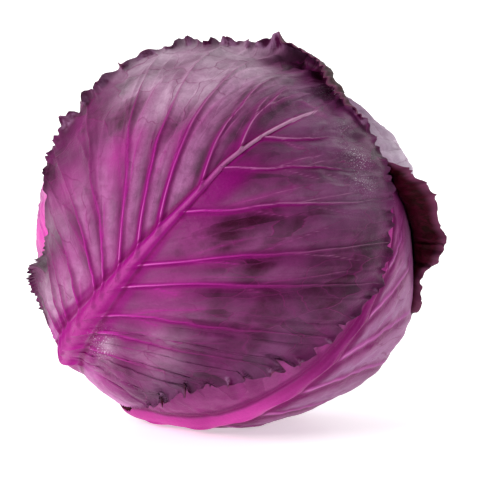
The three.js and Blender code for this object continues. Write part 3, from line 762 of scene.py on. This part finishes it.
leafBack = {
    **plainLeaf,
    "turn": 180,
    "layer": 1,
    "seed": 23,
    "columns": 24,
    "stripColumns": 18,
    "innerColumns": 6,
    "rowSpacing": 1.3,
    "innerRows": 12,
    "twigs": 4,
    "quilt": (0.7, 0.7),
    "panelHighlights": (0.3, 0.3),
    "ribWidth": (5.6, 0.9, 30),
    "veinWidth": (1.4, 0.6),
    "veinHeight": (1.3, 0.3),
    "paleTip": 1,
    "outline": [
        [-172, 82], [-164, 74], [-152, 64], [-135, 61], [-120, 61], [-105, 60.5], [-90, 60], [-78, 60.5],
        [-73, 62.5], [-69, 68], [-65, 73], [-60, 74], [-55, 76], [-52, 80.5], [-48, 83.5], [-42, 86],
        [-37, 90], [-32, 93.5], [-27, 95.5], [-23, 95], [-20, 93], [0, 91], [30, 86], [60, 78], [90, 72],
        [120, 66], [140, 61], [154, 64], [164, 72], [172, 82],
    ],
    "rightVeins": backVeins,
    "leftVeins": mirrored(backVeins),
    "tip": [60, 0],
    "margin": [
        [-172, 3, 0, 0, 0, 0], [-150, 4, 8, 0.4, 1, 0.6], [-110, 4, 10, 0.5, 1, 0.8],
        [-90, 5, 15, 0.6, 1, 0.8], [-78, 4, 20, 0.6, 0.6, 0.6], [-71, 4, 60, 0.6, 0.6, 0.8],
        [-66, 8, 88, 0.6, 0.6, 1], [-60, 7, 88, 0.6, 0.8, 0.8], [-55, 9, 86, 0.8, 1.4, 1.2],
        [-51, 16.5, 82, 1.6, 2.0, 1.8], [-44, 19.5, 80, 2, 2.0, 2.0], [-36, 18, 80, 1.8, 1.8, 2.0],
        [-28, 14.5, 80, 1.6, 1.4, 1.8], [-24, 12.5, 72, 1.2, 1.0, 1.4], [-21, 8, 55, 0.8, 0.6, 0.8],
        [-17, 3, 0, 0, 0, 0.2], [0, 3, 0, 0, 0, 0], [35, 3, 0, 0, 0.3, 0.2], [60, 6, 30, 1.2, 1, 0.8],
        [90, 8, 50, 1.6, 1.2, 1], [120, 7, 40, 1.4, 1.2, 1], [150, 4, 10, 0.5, 0.8, 0.5],
        [172, 3, 0, 0, 0, 0],
    ],
    "folds": [[-172, 30], [-74, 30], [-67, 5], [-56, 5], [-50, 6.5], [-24, 6.5], [-18, 30], [172, 30]],
    "tears": [(-52.5, 0.5, 2.5), (-68.5, 0.5, 2), (-46, 0.4, 1.2), (-70.5, 0.5, 2)],
    "swells": [(63, -27, 10, 10, 5.0), (70, -14, 9, 11, 4.6), (76, 2, 8, 9, 2.4)],
    # pale bloom, largely a painted sheen
    "bloom": [
        (60, -20, 26, 16, 1.0), (20, -60, 60, 30, 0.85), (40, -20, 30, 30, 0.6), (20, 40, 40, 30, 0.4),
        (-30, 30, 20, 20, 0.35),
    ],
    "dark": [(-20, 20, 14, 8, 0.4), (10, 34, 16, 8, 0.5), (-10, -30, 16, 8, 0.3)],
    "flush": [(-40, 0, 26, 12, 0.5), (50, -66, 22, 9, 1.0), (34, -70, 14, 9, 1.0)],
}

lowerVeins = [[-58, 152], [-42, 128], [-27, 104], [-12, 82], [3, 62], [18, 44], [34, 28]]

lowerLeaf = {  # what the two leaves share whose margins lie under the others
    **plainLeaf,
    "stripColumns": 8,
    "innerColumns": 2,
    "innerRows": 10,
    "rightVeins": lowerVeins,
    "leftVeins": mirrored(lowerVeins),
    "margin": [[-180, 4, 0, 0, 0, 0], [180, 4, 0, 0, 0, 0]],
    "folds": [[-180, 30], [180, 30]],
}

leafRight = {
    **lowerLeaf,
    "turn": -72,
    "layer": 2,
    "seed": 37,
    "columns": 40,
    "rowSpacing": 1.6,
    "twigs": 2,
    "quilt": (0.9, 0.3),
    "panelHighlights": (0.9, 0),
    "ribWidth": (6.6, 1.6, 60),
    "veinWidth": (3.0, 1.8),
    "veinHeight": (1.0, 0.8),
    "veinSides": (1, 0.25),
    "bow": [[-78, -1.1], [-50, -3.5], [-20, -3.3], [0, -1.5], [20, 1.5], [40, 5.9], [56, 10.2]],
    "outline": [
        [-177.9, 78.5], [-174.8, 66], [-166, 62], [-150, 60], [-120, 62], [-90, 64], [-60, 68], [-30, 76],
        [0, 84], [30, 76], [60, 68], [90, 65], [120, 64], [140, 64], [156, 68], [166, 75], [172.6, 81.5],
    ],
    "swells": [(2, 33, 14, 9, 3.2), (22, 36, 14, 9, 3.6)],
    # pale bloom, partly a painted sheen
    "bloom": [
        (12, 32, 30, 12, 0.9), (30, 24, 16, 10, 0.6), (44, 34, 12, 12, 0.6), (54, 9, 8, 8, 0.6),
        (0, -30, 40, 14, 0.25),
    ],
    "dark": [(2, 30, 10, 5, 0.4)],
    "flush": [(-28, -3, 20, 8, 1.0), (-50, 0, 24, 24, 0.9), (50, 8, 14, 10, 0.6)],
}

leafLeft = {
    **lowerLeaf,
    "turn": 88,
    "layer": 3,
    "seed": 53,
    "columns": 36,
    "rowSpacing": 2.0,
    "twigs": 3,
    "quilt": (1.0, 1.0),
    "panelHighlights": (0.3, 0.3),
    "ribWidth": (5.6, 1.2, 30),
    "veinWidth": (1.8, 0.9),
    "veinHeight": (1.2, 0.5),
    "outline": [
        [-175, 79.6], [-169, 68], [-160, 64], [-145, 62], [-120, 62], [-90, 64], [-60, 68], [-30, 76],
        [0, 84], [30, 76], [60, 68], [90, 64], [120, 62], [145, 62], [160, 64], [169, 68], [175, 79.6],
    ],
    "bloom": [(30, 0, 30, 30, 0.5)],
    "flush": [(-36, 44, 24, 16, 1.0), (-30, 0, 36, 14, 0.35)],
}

# from the outside in, so each leaf is covered by those before it
leafPlans = {"front": leafFront, "back": leafBack, "right": leafRight, "left": leafLeft}
layouts = {key: LeafLayout(plan) for key, plan in leafPlans.items()}
for i, layout in enumerate(layouts.values()):
    layout.covers = list(layouts.values())[:i]

studioLight = {"onLeaves": 0.95, "gloss": 0.012}


def paint(code):
    # a colour as it is seen in the studio, written 0xRRGGBB, turned into the surface's own colour
    seen = [(code >> shift & 255) / 255 for shift in (16, 8, 0)]
    light = [c / 12.92 if c <= 0.04045 else ((c + 0.055) / 1.055) ** 2.4 for c in seen]
    own = [max(c - studioLight["gloss"], 0.001) / studioLight["onLeaves"] for c in light]
    return tuple(min(c, 0.95) for c in own) + (1.0,)


class Nodes:
    # a short way to write a node tree

    def __init__(self, name):
        self.material = bpy.data.materials.new(name)
        self.material.use_nodes = True
        self.tree = self.material.node_tree
        self.shader = self.tree.nodes["Principled BSDF"]

    def add(self, kind, inputs, **settings):
        node = self.tree.nodes.new(kind)
        for key, value in settings.items():
            setattr(node, key, value)
        for key, value in inputs.items():
            self.link(value, node.inputs[key])
        return node

    def link(self, source, target):
        if isinstance(source, (int, float, tuple)):
            target.default_value = source
        else:
            self.tree.links.new(source, target)

    def value(self, name):
        return self.add("ShaderNodeAttribute", {}, attribute_name=name).outputs["Fac"]

    def place(self):
        return self.add("ShaderNodeTexCoord", {}).outputs["Object"]

    def math(self, kind, a, b=0.0, clamp=False):
        return self.add("ShaderNodeMath", {0: a, 1: b}, operation=kind, use_clamp=clamp).outputs[0]

    def times(self, a, b):
        return self.math("MULTIPLY", a, b)

    def centred(self, source, amount):
        # a grain from 0 to 1, moved to lie around 0
        return self.times(self.math("SUBTRACT", source, 0.5), amount)

    def ramp(self, source, low, high, start=0.0, end=1.0):
        ends = {"Value": source, "From Min": low, "From Max": high, "To Min": start, "To Max": end}
        node = self.add("ShaderNodeMapRange", ends, interpolation_type="SMOOTHSTEP", clamp=True)
        return node.outputs["Result"]

    def valueRamp(self, name, low, high, start=0.0, end=1.0):
        return self.ramp(self.value(name), low, high, start, end)

    def mix(self, amount, a, b, kind="MIX"):
        # 6, 7 and 2 are the colour sockets
        colors = {"Factor": amount, 6: a, 7: b}
        return self.add("ShaderNodeMix", colors, data_type="RGBA", blend_type=kind).outputs[2]

    def flat(self, key="flat", scale=(1, 1, 1)):
        uv = self.add("ShaderNodeUVMap", {}, uv_map=key).outputs["UV"]
        return self.add("ShaderNodeMapping", {"Vector": uv, "Scale": scale}).outputs["Vector"]

    def noise(self, vector, scale, detail=3.0, rough=0.5, warp=0.0, output="Fac"):
        look = {"Vector": vector, "Scale": scale, "Detail": detail, "Roughness": rough, "Distortion": warp}
        return self.add("ShaderNodeTexNoise", look).outputs[output]

    def wavy(self, vector, scale, size):
        # the same place, nudged about by noise
        shift = self.noise(vector, scale, 2.0, output="Color")
        small = self.add("ShaderNodeVectorMath", {0: shift, "Scale": size}, operation="SCALE").outputs[0]
        return self.add("ShaderNodeVectorMath", {0: vector, 1: small}, operation="ADD").outputs[0]

    def cells(self, vector, feature="DISTANCE_TO_EDGE"):
        node = self.add("ShaderNodeTexVoronoi", {"Vector": vector, "Scale": 1.0}, feature=feature)
        return node.outputs["Distance" if feature == "DISTANCE_TO_EDGE" else "Color"]

    def bump(self, height, distance, strength=1.0, under=None):
        look = {"Height": height, "Distance": distance, "Strength": strength}
        if under is not None:
            look["Normal"] = under
        return self.add("ShaderNodeBump", look).outputs["Normal"]

    def surface(self, color, roughness, specular, normal=None):
        self.link(color, self.shader.inputs["Base Color"])
        self.link(roughness, self.shader.inputs["Roughness"])
        self.shader.inputs["Specular IOR Level"].default_value = specular
        if normal is not None:
            self.link(normal, self.shader.inputs["Normal"])
        return self.material


leafColors = {
    "blade": 0x6C2C5A,
    "bladeDeep": 0x38042C,
    "patch": 0x3C062C,
    # pale lilac of the waxy bloom, partly a painted sheen
    "lilac": 0xCCAEC4,
    # painted highlight on one side of each panel
    "panel": 0xB070A0,
    # greyish cast, partly a painted sheen
    "ash": 0x7A5072,
    "magenta": 0xA03884,
    # deep magenta painted shade beside the veins
    "flank": 0x82006A,
    "twig": 0x7C2A62,
    "veinNear": 0xAA2A8E,
    "veinFar": 0x84306A,
    # painted highlight along the crest of the veins
    "veinHighlight": 0xDC8CC8,
    "rib": 0x94207A,
    # painted highlight along the midrib's crest
    "ribCrestHighlight": 0xB04C94,
    "ribBright": 0x9C2A7A,
    "ribTip": 0xBC8CAC,
    "stalk": 0xE494D4,
    "grooveShade": 0x7A005E,
    "edge": 0x5C3050,
    "roll": 0x521E40,
    # paler streaks on rolled margins, partly painted glints
    "rollPale": 0x8E6486,
    # near-white painted glints
    "frost": 0xE8DCE8,
}


def leafMaterial(name, colors):
    colors = {key: paint(code) for key, code in colors.items()}
    n = Nodes(name)
    uv = n.flat()
    weave = n.wavy(n.flat("weave", (4.4, 11.0, 1)), 1.3, 0.55)
    toEdge = n.cells(weave)
    tone = n.add("ShaderNodeSeparateColor", {0: n.cells(weave, "F1")})
    toFineEdge = n.cells(n.wavy(n.flat("weave", (16, 26, 1)), 1.5, 0.5))
    grainWide = n.noise(uv, 7, 3, 0.5, 0.3)
    mottle = n.noise(uv, 20, 4, 0.55, 0.3)
    grainFine = n.noise(uv, 90, 4, 0.6)
    # blade: broad clouds, and each panel between veins a little darker or lighter than the next
    clouds = n.ramp(grainWide, 0.36, 0.66, 0.0, 0.6)
    deep = n.math("ADD", clouds, n.ramp(tone.outputs[0], 0.4, 0.9, 0.0, 0.5), True)
    # pale lilac of the waxy bloom, partly a painted sheen
    bloom = n.times(n.value("bloom"), n.ramp(mottle, 0.3, 0.7, 0.7, 1.0))
    bloom = n.times(bloom, n.ramp(tone.outputs[1], 0.0, 1.0, 0.7, 1.0))
    # dark panels, which end at the small veins
    patch = n.math("ADD", n.value("dark"), n.centred(tone.outputs[2], 0.3))
    patch = n.math("ADD", patch, n.centred(mottle, 0.8))
    patch = n.times(n.ramp(patch, 0.1, 0.9, 0.0, 0.9), n.ramp(toEdge, 0.0, 0.1, 0.7, 1.0))
    # net of small veins
    wideNet = n.times(n.ramp(toEdge, 0.0, 0.024, 1.0, 0.0), n.valueRamp("near", 0.5, 0.95, 1.0, 0.0))
    wideNet = n.times(wideNet, n.ramp(grainWide, 0.35, 0.55, 0.25, 1.0))
    fineNet = n.ramp(toFineEdge, 0.0, 0.06, 0.22, 0.0)
    net = n.times(n.math("MAXIMUM", wideNet, fineNet), n.value("open"))
    net = n.times(net, n.math("SUBTRACT", 1.0, n.value("stalk")))
    veinColor = n.mix(n.value("near"), colors["veinFar"], colors["veinNear"])
    veinColor = n.mix(n.times(n.value("tip"), 0.6), veinColor, colors["ribTip"])
    # the midrib lighter along its crest: a painted highlight
    ribColor = n.mix(n.valueRamp("rib", 0.55, 1.0, 0.0, 0.7), colors["rib"], colors["ribCrestHighlight"])
    ribColor = n.mix(n.times(n.value("flush"), 0.8), ribColor, colors["ribBright"])
    ribColor = n.mix(n.times(n.value("tip"), 0.85), ribColor, colors["ribTip"])
    edge = n.times(n.valueRamp("edge", 0.0, 3.2, 0.75, 0.0), n.ramp(mottle, 0.4, 0.65, 0.25, 1.0))
    edge = n.times(edge, n.valueRamp("bloom", 0.2, 0.8, 1.0, 0.35))
    # rolled margins: dark maroon mottled with a paler colour that stands partly for painted glints
    rolled = n.mix(n.ramp(mottle, 0.38, 0.62), colors["roll"], colors["rollPale"])
    # each colour over the ones before it
    color = colors["blade"]
    for amount, over in (
        (deep, colors["bladeDeep"]),
        # greyish cast, partly a painted sheen
        (n.times(n.value("ash"), n.ramp(mottle, 0.3, 0.7, 0.7, 1.0)), colors["ash"]),
        # painted highlight on one side of each panel
        (n.times(n.value("panel"), n.ramp(mottle, 0.3, 0.7, 0.6, 1.0)), colors["panel"]),
        (bloom, colors["lilac"]),
        (n.times(n.value("flush"), n.ramp(grainWide, 0.3, 0.7, 0.6, 1.0)), colors["magenta"]),
        (patch, colors["patch"]),
        (n.times(n.valueRamp("away", 0.3, 4.0, 0.5, 0.0), n.value("near")), colors["magenta"]),
        (n.times(net, 0.55), colors["twig"]),
        # painted shade beside the veins
        (n.valueRamp("flank", 0.1, 0.9, 0.0, 0.9), colors["flank"]),
        (n.valueRamp("vein", 0.15, 0.7, 0.0, 0.95), veinColor),
        # painted highlight along the crest of the veins
        (n.valueRamp("vein", 0.72, 0.98, 0.0, 0.55), colors["veinHighlight"]),
        (n.times(n.value("stalk"), n.ramp(mottle, 0.3, 0.7, 0.6, 0.95)), colors["stalk"]),
        (n.valueRamp("groove", 0.15, 0.8, 0.0, 0.9), colors["grooveShade"]),
        (n.valueRamp("rib", 0.02, 0.25), ribColor),
        (edge, colors["edge"]),
        (n.valueRamp("roll", 0.1, 0.7, 0.0, 0.9), rolled),
        # near-white painted glints on the crinkled spots
        (n.times(n.value("frost"), n.ramp(n.noise(uv, 130, 3, 0.7, 0.6), 0.56, 0.66)), colors["frost"]),
    ):
        color = n.mix(amount, color, over)
    speck = n.ramp(grainFine, 0.35, 0.7, 0.95, 1.05)
    grey = n.add("ShaderNodeCombineColor", {0: speck, 1: speck, 2: speck}).outputs[0]
    color = n.mix(1.0, color, grey, "MULTIPLY")
    # panels stand up softly between the small veins
    puff = n.times(n.ramp(toEdge, 0.0, 0.28), n.valueRamp("near", 0.4, 0.95, 1.0, 0.0))
    soft = n.bump(n.times(puff, n.value("open")), 0.0009, 0.28)
    small = n.bump(n.math("ADD", n.times(net, 0.8), grainFine), 0.0004, 0.45, soft)
    return n.surface(color, n.ramp(grainFine, 0.3, 0.7, 0.34, 0.5), 0.1, n.bump(mottle, 0.0008, 0.4, small))


def innerMaterial():
    n = Nodes("innerFace")
    uv = n.flat()
    grain = n.noise(uv, 26, 4, 0.6, 0.8)
    # dark maroon: the inside face's own darker colour, darkened further by painted shade
    color = n.mix(n.ramp(grain, 0.3, 0.7), paint(0x2C0018), paint(0x480A2A))
    color = n.mix(n.valueRamp("edge", 0.0, 5.0, 0.7, 0.0), color, paint(0x7E4664))
    color = n.mix(n.valueRamp("vein", 0.2, 0.9, 0.0, 0.5), color, paint(0x7A2A58))
    color = n.mix(n.times(n.value("stalk"), 0.9), color, paint(leafColors["stalk"]))
    return n.surface(color, 0.5, 0.06, n.bump(n.noise(uv, 70, 4, 0.6), 0.0006, 0.5))


def cutMaterial():
    # freshly cut leaf stalk
    n = Nodes("cutLeafStalk")
    grain = n.noise(n.place(), 420, 3, 0.6)
    wide = n.noise(n.place(), 90, 3, 0.6)
    color = n.mix(n.ramp(grain, 0.3, 0.7), paint(0xC48AB0), paint(0xD9AFC8))
    color = n.mix(n.ramp(wide, 0.45, 0.75, 0.0, 0.5), color, paint(0xB06A9C))
    return n.surface(color, 0.5, 0.35, n.bump(grain, 0.0006, 0.5))


cutFlesh = cutMaterial()
innerFace = innerMaterial()
# the back leaf's pale blade and bloom colours are partly a painted sheen of light glancing off it
backColors = {"blade": 0x94648E, "bladeDeep": 0x663060, "lilac": 0xE4D4E4}
rightColors = {
    "blade": 0x93467C, "bladeDeep": 0x6E1C56, "lilac": 0xAC7CA2, "panel": 0xA0709A, "rib": 0x7E1C62,
    "ribCrestHighlight": 0x8E2C74, "flank": 0x720E5A, "veinNear": 0xA84C94, "veinFar": 0xA05490, "ribBright": 0xDC50B2,
}
leftColors = {"blade": 0xA2488C, "bladeDeep": 0x7A2A66, "magenta": 0xDC46AE, "lilac": 0xBC88B0}
frontFinish = leafMaterial("leafFrontSkin", leafColors)
backFinish = leafMaterial("leafBackSkin", {**leafColors, **backColors})
rightFinish = leafMaterial("leafRightSkin", {**leafColors, **rightColors})
leftFinish = leafMaterial("leafLeftSkin", {**leafColors, **leftColors})
print("materials made")

for key, nodeName, finish in (
    ("front", "leaf_front", frontFinish), ("back", "leaf_back", backFinish),
    ("right", "leaf_right", rightFinish), ("left", "leaf_left", leftFinish),
):
    leafSkin = buildLeaf(nodeName.replace("_", "") + "Skin", layouts[key], [finish, innerFace, cutFlesh])
    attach(leafSkin, "root")
    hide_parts(nodeName)


headGrid = {"rings": 96, "around": 150}


def buildHead():
    rings, around = headGrid["rings"], headGrid["around"]
    depth = headShape["pitch"] * leafLeft["layer"] + headShape["bladeThickness"] + headShape["headGap"]
    floorLevel = headShape["pitch"] * leafLeft["layer"] - headShape["restHeight"]
    fromStem = np.pi * np.arange(rings + 1)[:, None] / rings + np.zeros(around)[None, :]
    turn = 2 * np.pi * np.arange(around)[None, :] / around + np.zeros(rings + 1)[:, None]
    direction = (np.cos(fromStem)[..., None] * stemAxis
                 + (np.sin(fromStem) * np.cos(turn))[..., None] * frontAxis
                 + (np.sin(fromStem) * np.sin(turn))[..., None] * sideAxis)
    points = direction * (shellRadius(direction) - depth)[..., None]
    over = np.maximum(points @ stemAxis - (stalkShape["bossHeight"] - headShape["gap"]), 0)
    points = points - over[..., None] * stemAxis
    points[..., 2] = np.maximum(points[..., 2], floorLevel)
    grid = np.arange((rings - 1) * around).reshape(rings - 1, around) + 1
    ends = len(grid.ravel()) + 1
    allPoints = np.concatenate([points[0, :1], points[1:-1].reshape(-1, 3), points[-1, :1]])
    nextCol = np.roll(grid, -1, axis=1)
    quads = np.stack([grid[:-1], grid[1:], nextCol[1:], nextCol[:-1]], axis=-1).reshape(-1, 4).tolist()
    caps = [(0, grid[0, j], nextCol[0, j]) for j in range(around)]
    caps += [(ends, nextCol[-1, j], grid[-1, j]) for j in range(around)]
    flat = np.stack([np.degrees(turn), np.degrees(fromStem)], axis=-1) * mmPerDegree / leafRelief["mapSpan"]
    allFlat = np.concatenate([flat[0, :1], flat[1:-1].reshape(-1, 2), flat[-1, :1]])
    zero = np.zeros(len(allPoints))
    names = ("vein", "flank", "rib", "groove", "roll", "near", "tip", "open", "panel") + patchKeys
    values = {key: zero for key in names}
    values["away"] = zero + 20
    values["edge"] = zero + 30
    maps = {"flat": allFlat, "weave": allFlat}
    return makePiece("headSkin", allPoints, quads + caps, [rightFinish], None, values, maps)


headSkin = buildHead()
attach(headSkin, "root")
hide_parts("head")


def stalkMaterial():
    n = Nodes("stalkFlesh")
    grain = n.noise(n.place(), 300, 4, 0.6)
    color = n.mix(n.ramp(grain, 0.3, 0.7), paint(0xD9C2B8), paint(0xE6D6C6))
    color = n.mix(n.valueRamp("radial", 0.62, 0.8, 0.0, 0.6), color, paint(0xB98BA4))
    color = n.mix(n.valueRamp("radial", 0.9, 1.0), color, paint(0x9A4E86))
    return n.surface(color, 0.55, 0.3, n.bump(grain, 0.0008, 0.5))


def buildStalk():
    radius, cut = stalkShape["radius"], stalkShape["cutHeight"]
    neck, boss = cut - stalkShape["length"], stalkShape["bossHeight"]
    profile = [
        (0, cut - 0.5), (radius * 0.3, cut - 0.45), (radius * 0.6, cut - 0.25), (radius * 0.8, cut - 0.1),
        (radius * 0.95, cut), (radius, cut - 0.3), (radius, neck), (radius * 1.3, neck - 1.6),
        (stalkShape["bossRadius"], boss), (0, boss),
    ]
    around = 120
    turn = 2 * np.pi * np.arange(around) / around
    points, radial = [], []
    for r, h in profile:
        wave = 1 + 0.02 * np.sin(5 * turn) + 0.012 * np.sin(13 * turn + 1) if 0 < r <= radius else 1
        forward, sideways = r * wave * np.cos(turn), r * wave * np.sin(turn)
        points.append(stemAxis * h + forward[:, None] * frontAxis + sideways[:, None] * sideAxis)
        radial.append(np.full(around, r / radius if h > cut - 1 else 1.0))
    points = np.concatenate(points)
    faces = []
    for k in range(len(profile) - 1):
        for j in range(around):
            a, b = k * around + j, k * around + (j + 1) % around
            faces.append((a, a + around, b + around, b))
    return makePiece("stalkSkin", points, faces, [stalkMaterial()], None, {"radial": np.concatenate(radial)})


stalkSkin = buildStalk()
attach(stalkSkin, "root")
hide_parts("stalk")
print("head and stalk made")


studio = {
    "floorSize": 8.0,
    "floorColor": (0.9, 0.9, 0.9, 1),
    "floorGlow": 0.5,  # the floor is a light table
    "worldFront": 0.12,
    "worldBack": 1.0,
    "lights": [
        # name, where it comes from, strength, softness in degrees
        ("keyLight", (-0.95, -0.75, 0.75), 2.45, 30),
        ("rimLight", (0.75, 0.75, 0.55), 0.6, 30),
    ],
}

cameraView = {
    "elevation": 8.0,
    "distance": 1.6,
    "frameWidth": 0.2072,  # at the head's middle
    "sensor": 36.0,
    "imageSize": 480,
    "headPixel": (228, 233),  # of the head's middle, in that image
}


def buildFloor():
    half = studio["floorSize"] / 2
    mesh = bpy.data.meshes.new("floor")
    corners = [(-half, -half, 0), (half, -half, 0), (half, half, 0), (-half, half, 0)]
    mesh.from_pydata(corners, [], [(0, 1, 2, 3)])
    n = Nodes("floorPaper")
    grain = n.noise(n.place(), 900, 2)
    color = n.mix(n.ramp(grain, 0.2, 0.8, 0.0, 0.03), studio["floorColor"], (0.88, 0.88, 0.88, 1))
    n.surface(color, 0.6, 0.2)
    n.shader.inputs["Emission Color"].default_value = (1, 1, 1, 1)
    n.shader.inputs["Emission Strength"].default_value = studio["floorGlow"]
    mesh.materials.append(n.material)
    addObject("floor", mesh)


def buildLight():
    # a white world, brighter behind than in front, and the soft suns
    world = bpy.data.worlds.new("studioWhite")
    world.use_nodes = True
    nodes, links = world.node_tree.nodes, world.node_tree.links
    background = nodes["Background"]
    background.inputs["Color"].default_value = (1, 1, 1, 1)
    where = nodes.new("ShaderNodeTexCoord")
    split = nodes.new("ShaderNodeSeparateXYZ")
    links.new(where.outputs["Generated"], split.inputs[0])
    fade = nodes.new("ShaderNodeMapRange")
    fade.inputs["From Min"].default_value = -0.8
    fade.inputs["From Max"].default_value = 0.5
    fade.inputs["To Min"].default_value = studio["worldFront"]
    fade.inputs["To Max"].default_value = studio["worldBack"]
    links.new(split.outputs["Y"], fade.inputs["Value"])
    links.new(fade.outputs["Result"], background.inputs["Strength"])
    bpy.context.scene.world = world
    for name, source, strength, softness in studio["lights"]:
        light = bpy.data.lights.new(name, "SUN")
        light.energy = strength
        light.angle = math.radians(softness)
        lamp = addObject(name, light)
        lamp.location = source
        lamp.rotation_mode = "QUATERNION"
        lamp.rotation_quaternion = (-Vector(source)).to_track_quat("-Z", "Y")


def buildCamera():
    rise = math.radians(cameraView["elevation"])
    back = Vector((0, -math.cos(rise), math.sin(rise)))
    right, up = Vector((1, 0, 0)), Vector((0, math.sin(rise), math.cos(rise)))
    perPixel = cameraView["frameWidth"] / cameraView["imageSize"]
    half = cameraView["imageSize"] / 2
    px, py = cameraView["headPixel"]
    middle = Vector((0, 0, headShape["restHeight"] * mm))
    target = middle + right * (half - px) * perPixel - up * (half - py) * perPixel
    data = bpy.data.cameras.new("camera")
    data.sensor_width = cameraView["sensor"]
    data.lens = cameraView["sensor"] * cameraView["distance"] / cameraView["frameWidth"]
    camera = addObject("camera", data)
    camera.location = target + back * cameraView["distance"]
    camera.rotation_mode = "QUATERNION"
    camera.rotation_quaternion = (-back).to_track_quat("-Z", "Y")
    bpy.context.scene.camera = camera


buildFloor()
buildLight()
buildCamera()
bpy.context.scene.view_settings.view_transform = "Standard"
print("studio made")
